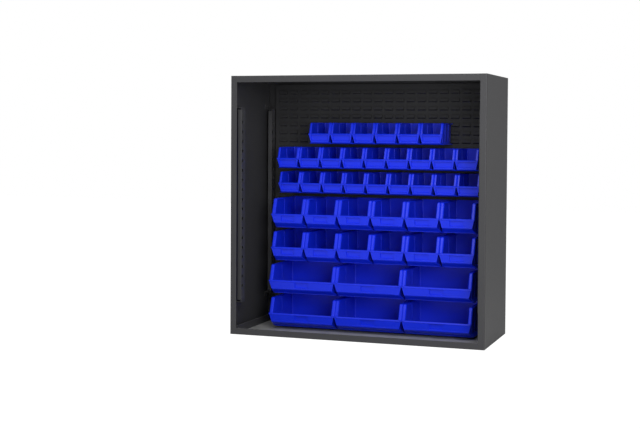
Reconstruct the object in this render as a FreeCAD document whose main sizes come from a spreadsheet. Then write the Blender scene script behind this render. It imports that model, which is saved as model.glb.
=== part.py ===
import FreeCAD, Part
import math
import os
import re

import Sketcher

# Open-fronted steel bin cabinet: a welded shell with a louvred back panel, four slotted
# shelf uprights and seven rows of plastic bins that hook onto the louvres.
# Millimetres. The origin is the middle of the footprint at floor level, the open front faces -Y, +Z is up.

SIZES = [
    ("cabinet_width", 1524.0, "outside width"),
    ("cabinet_depth", 609.6, "outside depth"),
    ("cabinet_height", 1524.0, "outside height"),
    ("shell_sheet", 2.0, "sheet thickness of the shell"),
    ("bend_radius", 5.0, "outside radius of the bent front edges"),
    ("front_flange", 38.0, "width of the flange round the open front"),
    ("base_flange", 60.0, "width of the turned-in foot of each side panel"),
    ("sill_height", 37.0, "height of the floor pan's front lip"),
    ("pan_inset", 33.0, "distance of the floor pan's sides from the cabinet's sides"),
    ("pan_flange", 43.0, "height of the floor pan's turned-up sides"),
    ("panel_standoff", 17.0, "distance of the louvred face from the back sheet"),
    ("panel_sheet", 1.5, "sheet thickness of the louvred panel"),
    ("panel_side_margin", 53.0, "distance of the louvred panel from the cabinet's sides"),
    ("panel_bottom", 48.0, "height of the louvred panel's lower edge"),
    ("panel_top_margin", 30.0, "distance of the louvred panel's upper edge from the cabinet's top"),
    ("louvre_width", 50.0, "width of one louvre"),
    ("louvre_height", 24.0, "height of one louvre"),
    ("louvre_reach", 10.0, "how far a louvre's upper edge stands out of the panel"),
    ("louvre_sheet", 1.7, "thickness of a louvre's tongue along Y"),
    ("louvre_pitch_across", 69.0, "spacing of the louvre columns"),
    ("louvre_pitch_up", 50.0, "spacing of the louvre rows"),
    ("louvre_first", 105.0, "height of the lowest louvre's upper edge"),
    ("louvre_edge_margin", 4.0, "plain sheet left outside the last louvres"),
    ("upright_width", 50.8, "width of a shelf upright along Y"),
    ("upright_depth", 25.4, "depth of a shelf upright along X"),
    ("upright_sheet", 2.0, "sheet thickness of a shelf upright"),
    ("upright_bottom", 198.0, "height of an upright's lower end"),
    ("upright_length", 1129.0, "length of an upright"),
    ("upright_wall_offset", 25.4, "distance of an upright's open edge from the cabinet's side"),
    ("front_upright_setback", 48.0, "distance of the front uprights from the cabinet's front"),
    ("rear_upright_gap", 7.8, "gap between the rear uprights and the louvred face"),
    ("slot_width", 20.0, "width of a shelf slot"),
    ("slot_height", 16.0, "height of a shelf slot"),
    ("slot_pitch", 57.15, "spacing of the shelf slots"),
    ("slot_inset", 15.0, "distance of the slots' middle from the upright's front edge"),
    ("slot_first", 26.0, "height of the lowest slot's middle above the upright's lower end"),
    ("slot_end_margin", 60.0, "least distance of the highest slot's middle from the upright's upper end"),
    ("bracket_sheet", 3.0, "thickness of an upright's stand-off bracket"),
    ("bracket_side_clearance", 0.5, "gap between a bracket and the upright's sides"),
    ("bracket_tab", 40.0, "length of a bracket's tab inside the upright"),
    ("bracket_overhang", 14.0, "how far a bracket reaches past the upright's end"),
    ("bracket_foot", 26.0, "length of a bracket's foot on the side panel"),
    ("small_width", 137.0, "width of a small bin"),
    ("medium_width", 206.0, "width of a medium bin"),
    ("large_width", 413.0, "width of a large bin"),
    ("bin_gap", 1.0, "gap between bins side by side"),
    ("shallow_depth", 276.0, "front of a small bin from the louvred face"),
    ("shallow_height", 127.0, "height of a small bin"),
    ("shallow_lip_drop", 65.0, "drop from a small bin's rim to its front lip"),
    ("shallow_lip_lean", 24.0, "lean of a small bin's side edges from lip to rim"),
    ("shallow_toe_run", 17.0, "run of the slope under a small bin's front face"),
    ("shallow_hanger_drop", 45.0, "drop from a small bin's rim to its hanger"),
    ("shallow_rim_width", 10.5, "width of a small bin's turned-out rim"),
    ("deep_depth", 374.65, "front of a medium or large bin from the louvred face"),
    ("deep_height", 177.8, "height of a medium or large bin"),
    ("deep_lip_drop", 90.0, "drop from a medium or large bin's rim to its front lip"),
    ("deep_lip_lean", 32.0, "lean of a medium or large bin's side edges from lip to rim"),
    ("deep_toe_run", 73.0, "run of the slope under a medium or large bin's front face"),
    ("deep_hanger_drop", 36.0, "drop from a medium or large bin's rim to its hanger"),
    ("deep_rim_width", 12.5, "width of a medium or large bin's turned-out rim"),
    ("bin_wall", 3.0, "wall of a bin"),
    ("lip_ledge", 10.0, "depth of the ledge between a bin's lip and its side edges"),
    ("rim_thickness", 4.0, "thickness of a bin's turned-out rim"),
    ("face_height", 54.0, "height of a bin's front face"),
    ("face_lean", 10.0, "lean of a bin's front face from foot to lip"),
    ("hanger_thickness", 3.5, "thickness of a bin's hanger"),
    ("hanger_inset", 6.0, "distance of a hanger's ends from the bin's sides"),
    ("hook_thickness", 2.5, "thickness of the hanger's turned-down hook"),
    ("hook_drop", 10.0, "drop of the hook behind the louvre"),
    ("hook_clearance", 0.5, "gap between the hook and the panel"),
    ("seat_clearance", 0.2, "gap between a hanger and the louvre's upper edge"),
    ("back_clearance", 1.0, "gap between a bin's back and the louvres"),
    ("floor_clearance", 10.0, "least gap between the floor pan and the lowest bins"),
    ("lift_clearance", 18.0, "least gap above a bin, so that it lifts off its louvres"),
    ("first_row_shift", 23.0, "shift of the first (top) bin row from the cabinet's middle"),
    ("second_row_shift", 27.0, "shift of the second bin row"),
    ("third_row_shift", 38.0, "shift of the third bin row"),
    ("fourth_row_shift", 31.0, "shift of the fourth bin row"),
    ("fifth_row_shift", 31.0, "shift of the fifth bin row"),
    ("sixth_row_shift", 17.0, "shift of the sixth bin row"),
    ("seventh_row_shift", 18.0, "shift of the seventh (lowest) bin row"),
]

# Each bin row from the lowest: its name, its bins' size and how many places stay empty at its ends.
BIN_ROWS = [
    ("seventh", "large", 0),
    ("sixth", "large", 0),
    ("fifth", "medium", 0),
    ("fourth", "medium", 0),
    ("third", "small", 0),
    ("second", "small", 0),
    ("first", "small", 3),
]

BIN_FAMILIES = {"small": "shallow", "medium": "deep", "large": "deep"}

SIDES = {"left": 1, "right": -1}

LOUVRED_FACE = "(cabinet_depth / 2 - shell_sheet - panel_standoff)"

# Where the front edges of the front and rear uprights lie along Y.
UPRIGHT_FRONTS = {
    "front": "front_upright_setback - cabinet_depth / 2",
    "rear": f"{LOUVRED_FACE} - rear_upright_gap - upright_width",
}

doc = FreeCAD.newDocument("bin_cabinet")
sheet = doc.addObject("Spreadsheet::Sheet", "Sizes")
nodes = []


def fill_sheet():
    """Write every driving size into the sheet with its alias and meaning."""
    for line, (alias, value, meaning) in enumerate(SIZES, start=1):
        sheet.set(f"A{line}", meaning)
        sheet.set(f"B{line}", str(value))
        sheet.setAlias(f"B{line}", alias)
    doc.recompute()


def size(alias):
    """The sheet's value under an alias."""
    return float(sheet.get(alias))


def bound(text):
    """An expression in which each size's alias points to its cell in the sheet."""
    return re.sub(r"[a-z]\w+", r"Sizes.\g<0>", text)


def place(piece, across="0", along="0", up="0"):
    """Bind the position of a piece to the sheet."""
    for axis, text in zip("xyz", (across, along, up)):
        piece.setExpression(f"Placement.Base.{axis}", bound(text))


def keep(piece, label):
    """Register a piece as a node under its label."""
    piece.Label = label
    nodes.append(piece)
    return piece


def copy_of(source, name):
    """A copy of a finished shape with a placement of its own."""
    piece = doc.addObject("Part::Refine", name)
    piece.Source = source
    return piece


def sketch_outline(body, name, plane, corners):
    """A closed outline of straight edges on one of the body's planes, its corners bound to the sheet."""
    support = next(item for item in body.Origin.OriginFeatures if item.Role == plane)
    sketch = body.newObject("Sketcher::SketchObject", name)
    sketch.AttachmentSupport = [(support, "")]
    sketch.MapMode = "FlatFace"
    count = len(corners)
    ring = [
        FreeCAD.Vector(math.cos(2 * math.pi * step / count), math.sin(2 * math.pi * step / count), 0)
        for step in range(count)
    ]
    for step in range(count):
        sketch.addGeometry(Part.LineSegment(ring[step], ring[(step + 1) % count]), False)
    for step in range(count):
        sketch.addConstraint(Sketcher.Constraint("Coincident", step, 2, (step + 1) % count, 1))
    for step, corner in enumerate(corners):
        for kind, text in zip(("DistanceX", "DistanceY"), corner):
            index = sketch.addConstraint(Sketcher.Constraint(kind, -1, 1, step, 1, 1.0))
            sketch.setExpression(f"Constraints[{index}]", bound(text))
    doc.recompute()
    return sketch


def pad_outline(body, name, plane, corners, length, symmetric=True):
    """Add material: an outline drawn out by a length, to both sides of its plane or to one."""
    pad = body.newObject("PartDesign::Pad", name)
    pad.Profile = sketch_outline(body, name + "_outline", plane, corners)
    pad.setExpression("Length", bound(length))
    pad.SideType = "Symmetric" if symmetric else "One side"
    doc.recompute()
    return pad


def cut_outline(body, name, plane, corners, length=None):
    """Take material away through an outline, over a length about its plane or all the way."""
    before = body.Shape.Volume
    pocket = body.newObject("PartDesign::Pocket", name)
    pocket.Profile = sketch_outline(body, name + "_outline", plane, corners)
    pocket.SideType = "Symmetric"
    if length is None:
        pocket.Type = "ThroughAll"
    else:
        pocket.setExpression("Length", bound(length))
    doc.recompute()
    if body.Shape.Volume >= before:
        raise RuntimeError(f"{body.Name}: {name} cuts nothing")
    return pocket


def round_edge(body, name, radius, on_edge):
    """Round the straight edges whose two ends both satisfy a test."""
    base = body.Tip
    edges = [
        f"Edge{number}"
        for number, edge in enumerate(base.Shape.Edges, start=1)
        if all(on_edge(vertex.Point) for vertex in edge.Vertexes)
    ]
    fillet = body.newObject("PartDesign::Fillet", name)
    fillet.Base = (base, edges)
    fillet.setExpression("Radius", bound(radius))
    doc.recompute()
    return fillet


def rectangle(low_x, low_y, high_x, high_y):
    """The corners of an upright rectangle."""
    return [(low_x, low_y), (high_x, low_y), (high_x, high_y), (low_x, high_y)]


def near(first, second):
    """Whether two lengths agree."""
    return abs(first - second) < 0.01


def make_side_panel(side):
    """A side wall with its front flange and its turned-in foot. Local origin: front outside corner."""
    turn = SIDES[side]
    body = doc.addObject("PartDesign::Body", f"side_panel_{side}")
    wall = [
        ("0", "0"),
        (f"{turn} * front_flange", "0"),
        (f"{turn} * front_flange", "shell_sheet"),
        (f"{turn} * shell_sheet", "shell_sheet"),
        (f"{turn} * shell_sheet", "cabinet_depth"),
        ("0", "cabinet_depth"),
    ]
    pad_outline(body, f"wall_{side}", "XY_Plane", wall, "cabinet_height", symmetric=False)
    thickness = size("shell_sheet")
    inner_radius = "bend_radius - shell_sheet"
    round_edge(body, f"outer_bend_{side}", "bend_radius", lambda point: near(point.x, 0) and near(point.y, 0))
    round_edge(
        body, f"inner_bend_{side}", inner_radius,
        lambda point: near(point.x, turn * thickness) and near(point.y, thickness))
    foot = rectangle(
        f"{turn} * shell_sheet", "bend_radius", f"{turn} * base_flange", "cabinet_depth - shell_sheet")
    pad_outline(body, f"foot_{side}", "XY_Plane", foot, "shell_sheet", symmetric=False)
    place(body, f"{-turn} * cabinet_width / 2", "-cabinet_depth / 2")
    return keep(body, f"side_panel_{side}")


def make_top_panel():
    """The roof sheet between the side panels, with a front flange. Local origin: front edge at the top."""
    body = doc.addObject("PartDesign::Body", "top_panel")
    roof = rectangle("bend_radius", "-shell_sheet", "cabinet_depth - shell_sheet", "0")
    pad_outline(body, "roof", "YZ_Plane", roof, "cabinet_width - 2 * shell_sheet")
    flange = [
        ("0", "-front_flange"),
        ("shell_sheet", "-front_flange"),
        ("shell_sheet", "-shell_sheet"),
        ("bend_radius", "-shell_sheet"),
        ("bend_radius", "0"),
        ("0", "0"),
    ]
    pad_outline(body, "roof_flange", "YZ_Plane", flange, "cabinet_width - 2 * front_flange")
    thickness = size("shell_sheet")
    round_edge(body, "roof_outer_bend", "bend_radius", lambda point: near(point.y, 0) and near(point.z, 0))
    round_edge(
        body, "roof_inner_bend", "bend_radius - shell_sheet",
        lambda point: near(point.y, thickness) and near(point.z, -thickness))
    place(body, along="-cabinet_depth / 2", up="cabinet_height")
    return keep(body, "top_panel")


def make_floor_pan():
    """The floor tray on the side panels' feet, with turned-up sides and a front lip."""
    body = doc.addObject("PartDesign::Body", "floor_pan")
    half = "(cabinet_width / 2 - pan_inset)"
    tray = [
        (f"-{half}", "shell_sheet"),
        (half, "shell_sheet"),
        (half, "2 * shell_sheet + pan_flange"),
        (f"{half} - shell_sheet", "2 * shell_sheet + pan_flange"),
        (f"{half} - shell_sheet", "2 * shell_sheet"),
        (f"-{half} + shell_sheet", "2 * shell_sheet"),
        (f"-{half} + shell_sheet", "2 * shell_sheet + pan_flange"),
        (f"-{half}", "2 * shell_sheet + pan_flange"),
    ]
    pad_outline(body, "tray", "XZ_Plane", tray, "cabinet_depth - 2 * shell_sheet")
    lip = rectangle("-cabinet_depth / 2", "0", "-cabinet_depth / 2 + shell_sheet", "sill_height")
    pad_outline(body, "front_lip", "YZ_Plane", lip, "cabinet_width - 2 * front_flange")
    return keep(body, "floor_pan")


def make_back_panel():
    """The plain back sheet between the side panels."""
    panel = doc.addObject("Part::Box", "back_panel")
    panel.setExpression("Length", bound("cabinet_width - 2 * shell_sheet"))
    panel.setExpression("Width", bound("shell_sheet"))
    panel.setExpression("Height", bound("cabinet_height"))
    place(panel, "shell_sheet - cabinet_width / 2", "cabinet_depth / 2 - shell_sheet")
    return keep(panel, "back_panel")


def louvre_tongue():
    """One louvre: a tongue bent out of the panel, open at its upper edge. Local origin: that edge."""
    half = size("louvre_width") / 2
    height = size("louvre_height")
    reach = size("louvre_reach")
    thickness = size("louvre_sheet")
    profile = [
        (0, -height),
        (-reach, 0),
        (thickness - reach, 0),
        (0, -height * (1 - thickness / reach)),
    ]
    points = [FreeCAD.Vector(-half, along, up) for along, up in profile]
    return Part.Face(Part.makePolygon(points + points[:1])).extrude(FreeCAD.Vector(2 * half, 0, 0))


def make_louvred_panel():
    """The louvred sheet, its edges folded back onto the back sheet. Local origin: louvred face, floor."""
    half = size("cabinet_width") / 2 - size("panel_side_margin")
    bottom = size("panel_bottom")
    height = size("cabinet_height") - size("panel_top_margin") - bottom
    thickness = size("panel_sheet")
    fold = size("panel_standoff") - thickness
    first = size("louvre_first")
    pitch_across = size("louvre_pitch_across")
    pitch_up = size("louvre_pitch_up")
    margin = size("louvre_edge_margin")
    columns = int(2 * (half - margin) // pitch_across)
    rows = int((bottom + height - margin - first) // pitch_up) + 1

    def slab(low_x, low_y, low_z, long, deep, tall):
        return Part.makeBox(long, deep, tall, FreeCAD.Vector(low_x, low_y, low_z))

    tongue = louvre_tongue()
    column = slab(-pitch_across / 2, 0, bottom, pitch_across, thickness, height).multiFuse(
        [tongue.translated(FreeCAD.Vector(0, 0, first + row * pitch_up)) for row in range(rows)])
    field = [
        column.translated(FreeCAD.Vector((number - (columns - 1) / 2) * pitch_across, 0, 0))
        for number in range(columns)
    ]
    edge = half - columns * pitch_across / 2
    edges = [slab(low, 0, bottom, edge, thickness, height) for low in (-half, half - edge)]
    upright_folds = [
        slab(low, thickness, bottom, thickness, fold, height)
        for low in (-half, half - thickness)
    ]
    level_folds = [
        slab(thickness - half, thickness, low, 2 * (half - thickness), fold, thickness)
        for low in (bottom, bottom + height - thickness)
    ]
    panel = doc.addObject("Part::Feature", "louvred_panel")
    panel.Shape = field[0].multiFuse(field[1:] + edges + upright_folds + level_folds)
    place(panel, along=LOUVRED_FACE)
    return keep(panel, "louvred_panel")


def make_upright(side, station):
    """A slotted channel that faces into the cabinet. Local origin: lower front corner at its open edge."""
    turn = SIDES[side]
    name = f"upright_{station}_{side}"
    body = doc.addObject("PartDesign::Body", name)
    channel = [
        ("0", "0"),
        (f"{turn} * upright_depth", "0"),
        (f"{turn} * upright_depth", "upright_width"),
        ("0", "upright_width"),
        ("0", "upright_width - upright_sheet"),
        (f"{turn} * (upright_depth - upright_sheet)", "upright_width - upright_sheet"),
        (f"{turn} * (upright_depth - upright_sheet)", "upright_sheet"),
        ("0", "upright_sheet"),
    ]
    pad_outline(body, f"{name}_channel", "XY_Plane", channel, "upright_length", symmetric=False)
    slot = rectangle(
        "slot_inset - slot_width / 2", "slot_first - slot_height / 2",
        "slot_inset + slot_width / 2", "slot_first + slot_height / 2")
    pocket = cut_outline(body, f"{name}_slot", "YZ_Plane", slot)
    run = size("upright_length") - size("slot_first") - size("slot_end_margin")
    pattern = body.newObject("PartDesign::LinearPattern", f"{name}_slots")
    pattern.Originals = [pocket]
    pattern.Direction = (next(item for item in body.Origin.OriginFeatures if item.Role == "Z_Axis"), [""])
    pattern.Mode = "Spacing"
    pattern.setExpression("Offset", bound("slot_pitch"))
    pattern.Occurrences = int(run // size("slot_pitch")) + 1
    body.Tip = pattern
    across = f"{turn} * (upright_wall_offset - cabinet_width / 2)"
    place(body, across, UPRIGHT_FRONTS[station], "upright_bottom")
    return keep(body, name)


def make_bracket():
    """The stand-off bracket at an upright's lower end. Local origin: side panel's face, upright's end."""
    body = doc.addObject("PartDesign::Body", "bracket")
    reach = "(upright_wall_offset - shell_sheet + upright_depth - upright_sheet)"
    strap = [
        (f"{reach} - bracket_sheet", "bracket_tab"),
        (reach, "bracket_tab"),
        (reach, "-bracket_overhang"),
        ("bracket_sheet", "-bracket_overhang"),
        ("bracket_sheet", "-bracket_overhang - bracket_foot"),
        ("0", "-bracket_overhang - bracket_foot"),
        ("0", "bracket_sheet - bracket_overhang"),
        (f"{reach} - bracket_sheet", "bracket_sheet - bracket_overhang"),
    ]
    width = "upright_width - 2 * upright_sheet - 2 * bracket_side_clearance"
    pad_outline(body, "strap", "XZ_Plane", strap, width)
    return body


def make_brackets(bracket, side):
    """The four brackets that hold one side's two uprights."""
    turn = SIDES[side]
    half_turns = {
        ("left", "lower"): (FreeCAD.Vector(0, 0, 1), 0),
        ("left", "upper"): (FreeCAD.Vector(1, 0, 0), 180),
        ("right", "lower"): (FreeCAD.Vector(0, 0, 1), 180),
        ("right", "upper"): (FreeCAD.Vector(0, 1, 0), 180),
    }
    ends = {"lower": "upright_bottom", "upper": "upright_bottom + upright_length"}
    pieces = []
    for station, front in UPRIGHT_FRONTS.items():
        for end, height in ends.items():
            piece = copy_of(bracket, f"bracket_{station}_{end}_{side}")
            piece.Placement = FreeCAD.Placement(FreeCAD.Vector(), FreeCAD.Rotation(*half_turns[side, end]))
            place(
                piece, f"{turn} * (shell_sheet - cabinet_width / 2)", f"{front} + upright_width / 2", height)
            pieces.append(piece)
    group = doc.addObject("Part::Compound", f"upright_brackets_{side}")
    group.Links = pieces
    return keep(group, f"upright_brackets_{side}")


def make_bin(kind):
    """A hopper-fronted bin. Local origin: louvred face, upper edge of the louvre that carries it."""
    family = BIN_FAMILIES[kind]
    width = f"{kind}_width"
    body_width = f"({width} - 2 * {family}_rim_width)"
    back = "-(louvre_reach + back_clearance)"
    rim = f"(seat_clearance + hanger_thickness + {family}_hanger_drop)"
    floor = f"({rim} - {family}_height)"
    front = f"-{family}_depth"
    lip = f"({rim} - {family}_lip_drop)"
    ledge = f"({front} + lip_ledge)"
    rim_front = f"({ledge} + {family}_lip_lean)"
    face_foot = f"({lip} - face_height)"
    toe = f"({front} + face_lean)"
    body = doc.addObject("PartDesign::Body", f"{kind}_bin")
    tub = [
        (back, floor), (back, rim), (rim_front, rim), (ledge, lip), (front, lip), (toe, face_foot),
        (f"{toe} + {family}_toe_run", floor),
    ]
    pad_outline(body, f"{kind}_tub", "YZ_Plane", tub, body_width)
    rim_band = [
        (front, lip), (ledge, lip), (rim_front, rim), (back, rim), (back, f"{rim} - rim_thickness"),
        (f"{rim_front} + rim_thickness", f"{rim} - rim_thickness"),
        (f"{ledge} + rim_thickness", f"{lip} - rim_thickness"), (front, f"{lip} - rim_thickness"),
    ]
    pad_outline(body, f"{kind}_rim", "YZ_Plane", rim_band, width)
    face = [(front, lip), (f"{front} + bin_wall", lip), (f"{toe} + bin_wall", face_foot), (toe, face_foot)]
    pad_outline(body, f"{kind}_face", "YZ_Plane", face, width)
    for side, turn in SIDES.items():
        corner = [
            (f"{-turn} * {width} / 2", lip),
            (f"{-turn} * {width} / 2", face_foot),
            (f"{-turn} * {body_width} / 2", face_foot),
        ]
        cut_outline(body, f"{kind}_face_corner_{side}", "XZ_Plane", corner)
    above = f"({rim} + bin_wall)"
    ahead = f"({front} - bin_wall)"
    inside = [
        (f"{back} - bin_wall", f"{floor} + bin_wall"), (f"{back} - bin_wall", above), (ahead, above),
        (ahead, lip), (f"{front} + bin_wall", lip), (f"{toe} + bin_wall", f"{face_foot} + bin_wall"),
        (f"{toe} + {family}_toe_run + bin_wall", f"{floor} + bin_wall"),
    ]
    cut_outline(body, f"{kind}_inside", "YZ_Plane", inside, f"{body_width} - 2 * bin_wall")
    hook = "-(hook_clearance + hook_thickness)"
    hanger = [
        (back, "seat_clearance"), (back, "seat_clearance + hanger_thickness"),
        ("-hook_clearance", "seat_clearance + hanger_thickness"), ("-hook_clearance", "-hook_drop"),
        (hook, "-hook_drop"), (hook, "seat_clearance"),
    ]
    pad_outline(body, f"{kind}_hanger", "YZ_Plane", hanger, f"{body_width} - 2 * hanger_inset")
    return body


def rim_rise(family):
    """Height of a bin's rim above the louvre edge that carries it."""
    return size("seat_clearance") + size("hanger_thickness") + size(f"{family}_hanger_drop")


def hang_bins():
    """Every bin on its louvres: each row takes the lowest ones, and as many bins, as it has room for."""
    patterns = {kind: make_bin(kind) for kind in BIN_FAMILIES}
    clear_half = size("cabinet_width") / 2 - size("upright_wall_offset") - size("upright_depth")
    free_from = 2 * size("shell_sheet") + size("floor_clearance")
    for row, kind, empty_places in BIN_ROWS:
        family = BIN_FAMILIES[kind]
        room = 2 * (clear_half - abs(size(f"{row}_row_shift")))
        count = int(room // (size(f"{kind}_width") + size("bin_gap")) - empty_places)
        lowest_seat = free_from + size(f"{family}_height") - rim_rise(family)
        louvre_row = math.ceil((lowest_seat - size("louvre_first")) / size("louvre_pitch_up"))
        seat = size("louvre_first") + louvre_row * size("louvre_pitch_up")
        free_from = seat + rim_rise(family) + size("lift_clearance")
        for place_in_row in range(count):
            step = place_in_row - (count - 1) / 2
            piece = copy_of(patterns[kind], f"bin_{row}_row_{place_in_row + 1}")
            place(
                piece, f"{row}_row_shift + {step} * ({kind}_width + bin_gap)", LOUVRED_FACE,
                f"louvre_first + {louvre_row} * louvre_pitch_up")
            keep(piece, piece.Name)


def check_document():
    """Stop if any object failed or any node's shape is missing or broken."""
    for item in doc.Objects:
        if "Invalid" in item.State or "Error" in item.State:
            raise RuntimeError(f"{item.Name} failed: {item.State}")
    for node in nodes:
        if node.Shape.isNull() or not node.Shape.isValid():
            raise RuntimeError(f"{node.Label} has no valid shape")


def write_parts():
    """Write each node's shape to a file of its own name."""
    os.makedirs("parts", exist_ok=True)
    for node in nodes:
        node.Shape.exportStep(f"parts/{node.Label}.step")


fill_sheet()
for side in SIDES:
    make_side_panel(side)
make_top_panel()
make_floor_pan()
make_back_panel()
make_louvred_panel()
bracket = make_bracket()
for side in SIDES:
    for station in UPRIGHT_FRONTS:
        make_upright(side, station)
    make_brackets(bracket, side)
hang_bins()
doc.recompute()
check_document()
write_parts()
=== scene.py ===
import math
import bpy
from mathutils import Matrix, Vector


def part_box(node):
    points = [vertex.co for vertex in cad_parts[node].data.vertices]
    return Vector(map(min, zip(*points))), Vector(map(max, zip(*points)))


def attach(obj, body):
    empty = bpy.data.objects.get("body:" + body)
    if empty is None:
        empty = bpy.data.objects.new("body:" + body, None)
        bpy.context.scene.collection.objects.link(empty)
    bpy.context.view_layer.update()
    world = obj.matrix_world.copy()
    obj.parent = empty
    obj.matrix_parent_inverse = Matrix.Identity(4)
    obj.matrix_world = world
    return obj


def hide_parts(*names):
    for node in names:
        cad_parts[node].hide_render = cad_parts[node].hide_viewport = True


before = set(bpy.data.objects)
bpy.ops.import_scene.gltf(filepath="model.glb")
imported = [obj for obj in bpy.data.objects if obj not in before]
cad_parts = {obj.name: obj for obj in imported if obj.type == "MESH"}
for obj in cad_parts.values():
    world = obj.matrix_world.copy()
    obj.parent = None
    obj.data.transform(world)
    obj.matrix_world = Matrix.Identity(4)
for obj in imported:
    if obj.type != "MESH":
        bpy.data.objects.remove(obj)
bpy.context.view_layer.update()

from types import SimpleNamespace

import bmesh
import bpy
from bpy.props import FloatProperty, FloatVectorProperty, IntProperty, PointerProperty
from bpy.types import Operator, Panel, PropertyGroup
from mathutils import Matrix, Vector

bl_info = {
    "name": "Open-front bin cabinet",
    "version": (1, 0, 0),
    "blender": (4, 5, 0),
    "location": "3D View > Sidebar > Bin Cabinet",
    "description": "Dresses a steel bin cabinet: painted shell, louvred panel, uprights and hook-on bins",
    "category": "Object",
}

MM = 0.001

# Allowances: how far joined solids run into each other, how far a cutter reaches past what it cuts,
# how near two places count as one, and how far a drafted edge may lean.
LAP = 1.0 * MM
RIM_OVERLAP = 0.1 * MM
CUT_CLEAR = 20.0 * MM
NEAR = 1.0 * MM
SAME_LINE = 0.01 * MM
WELD_GAP = 0.02 * MM
SIDE_LEAN = 9.0 * MM
SHARP_ANGLE = math.radians(38.0)

# Parts of a bin: the outer ribs along its depth, the tub's top in the rim's thickness, the face's start
# in the lip's height, the toe's wall in wall thicknesses, and where the toe's flange starts.
RIB_PARTS = (0.20, 0.44, 0.72)
RIM_LAP = 0.7
LIP_LAP = 0.6
TOE_WALL = 1.2
TOE_START = 0.15

# Finishes: the change of roughness, the depth of the fine relief, and the patches in each metre.
ROUGHNESS_SWING = 0.05
RELIEF_DEPTH = 0.1 * MM
TONE_PATCHES = 7.0
WEAR_AND_HIGHLIGHT_PATCHES = 38.0
DUST_PATCHES = 11.0
MIX_COLOURS = (6, 7)
MIX_RESULT = 2

# The stage's floor and the camera's film width in millimetres.
FLOOR_ROUGHNESS = 0.9
FLOOR_GLOW = 1.1
SENSOR_WIDTH = 36.0

CABINET = "cabinet"
SHELL_NODES = ("side_panel_left", "side_panel_right", "top_panel")
BACK_NODES = ("back_panel",)
FLOOR_NODES = ("floor_pan",)
UPRIGHT_NODES = ("upright_front_left", "upright_rear_left", "upright_front_right", "upright_rear_right")
BRACKET_NODES = ("upright_brackets_left", "upright_brackets_right")
PANEL_NODE = "louvred_panel"
BIN_ROWS = {
    "small": ("first", "second", "third"),
    "medium": ("fourth", "fifth"),
    "large": ("sixth", "seventh"),
}


def bin_nodes(kind):
    """The frame's bins of one size, row by row."""
    return [
        node
        for row in BIN_ROWS[kind]
        for node in sorted(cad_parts)
        if node.startswith(f"bin_{row}_row_")
    ]


def length(name, description, millimetres):
    """A length setting, given in millimetres and kept in metres."""
    return FloatProperty(
        name=name, description=description, default=millimetres * MM, min=0.0, precision=4, unit="LENGTH"
    )


def share(name, description, value):
    """A setting between nothing and all."""
    return FloatProperty(
        name=name, description=description, default=value, min=0.0, max=1.0, subtype="FACTOR"
    )


def colour(name, description, value):
    """A colour setting, in linear light."""
    return FloatVectorProperty(
        name=name, description=description, default=value, size=3, min=0.0, max=1.0, subtype="COLOR"
    )


def angle(name, description, degrees):
    """An angle setting, given in degrees."""
    return FloatProperty(name=name, description=description, default=math.radians(degrees), subtype="ANGLE")


def place(name, description, value):
    """A place setting, in metres."""
    return FloatVectorProperty(
        name=name, description=description, default=value, size=3, subtype="TRANSLATION", unit="LENGTH"
    )


def power(name, description, watts):
    """A light's power setting."""
    return FloatProperty(name=name, description=description, default=watts, min=0.0, unit="POWER")


class PaintSettings(PropertyGroup):
    """The grey powder coat on the steel."""

    shell: colour("Shell", "Paint on the sides, roof and floor", (0.040, 0.040, 0.043))
    # Put on the back as well, this darker paint is painted shade there.
    panel: colour("Louvred panel", "Paint on the louvred panel and the back", (0.023, 0.023, 0.025))
    upright: colour("Uprights", "Paint on the slotted uprights and their brackets", (0.048, 0.048, 0.051))
    # This lighter colour goes on the edges, part scuffing and part painted highlight.
    worn_and_highlight: colour("Rubbed paint", "Paint that is rubbed thin along an edge", (0.10, 0.10, 0.105))
    dust: colour("Dust", "Dust that settles on level faces", (0.42, 0.42, 0.41))
    roughness: share("Roughness", "How matt the powder coat is", 0.46)
    wear_and_highlight: share("Edge wear", "How far the edges are rubbed", 0.30)
    dustiness: share("Dustiness", "How much dust lies on level faces", 0.05)
    # This much dust on the floor pan is part dust and part painted light from above, making the floor
    # lighter.
    floor_dust: share("Floor dust", "How much dust lies on the floor pan", 0.85)
    spread: share("Tone spread", "How far the tone drifts over a face", 0.05)
    relief: share("Relief", "Strength of the powder coat's fine relief", 0.12)
    specular: share("Specular", "Strength of the powder coat's reflections", 0.42)
    grain: length("Grain", "Size of the powder coat's orange peel", 1.6)
    rounding: length("Rounding", "Width over which an edge is rubbed and shaded round", 1.5)
    edge: length("Edge radius", "Radius of the sheet's cut edges", 0.5)
    fine_edge: length("Fine edge radius", "Radius of the uprights' and brackets' cut edges", 0.3)


class PlasticSettings(PropertyGroup):
    """The moulded blue plastic of the bins."""

    body: colour("Body", "Colour of the plastic", (0.0045, 0.0250, 0.720))
    # This paler blue goes on the edges, part scuffing and part painted highlight.
    worn_and_highlight: colour("Rubbed plastic", "Plastic that is rubbed pale along an edge", (0.05, 0.09, 0.88))
    dust: colour("Dust", "Dust that settles on level faces", (0.12, 0.14, 0.40))
    roughness: share("Roughness", "How matt the moulded face is", 0.36)
    wear_and_highlight: share("Edge wear", "How far the edges are rubbed", 0.35)
    dustiness: share("Dustiness", "How much dust lies on level faces", 0.06)
    spread: share("Tone spread", "How far the tone drifts over a face", 0.05)
    relief: share("Relief", "Strength of the mould's fine relief", 0.10)
    specular: share("Specular", "Strength of the plastic's reflections", 0.3)
    grain: length("Grain", "Size of the mould's fine texture", 0.8)
    rounding: length("Rounding", "Radius of the moulded edges", 1.2)


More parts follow.
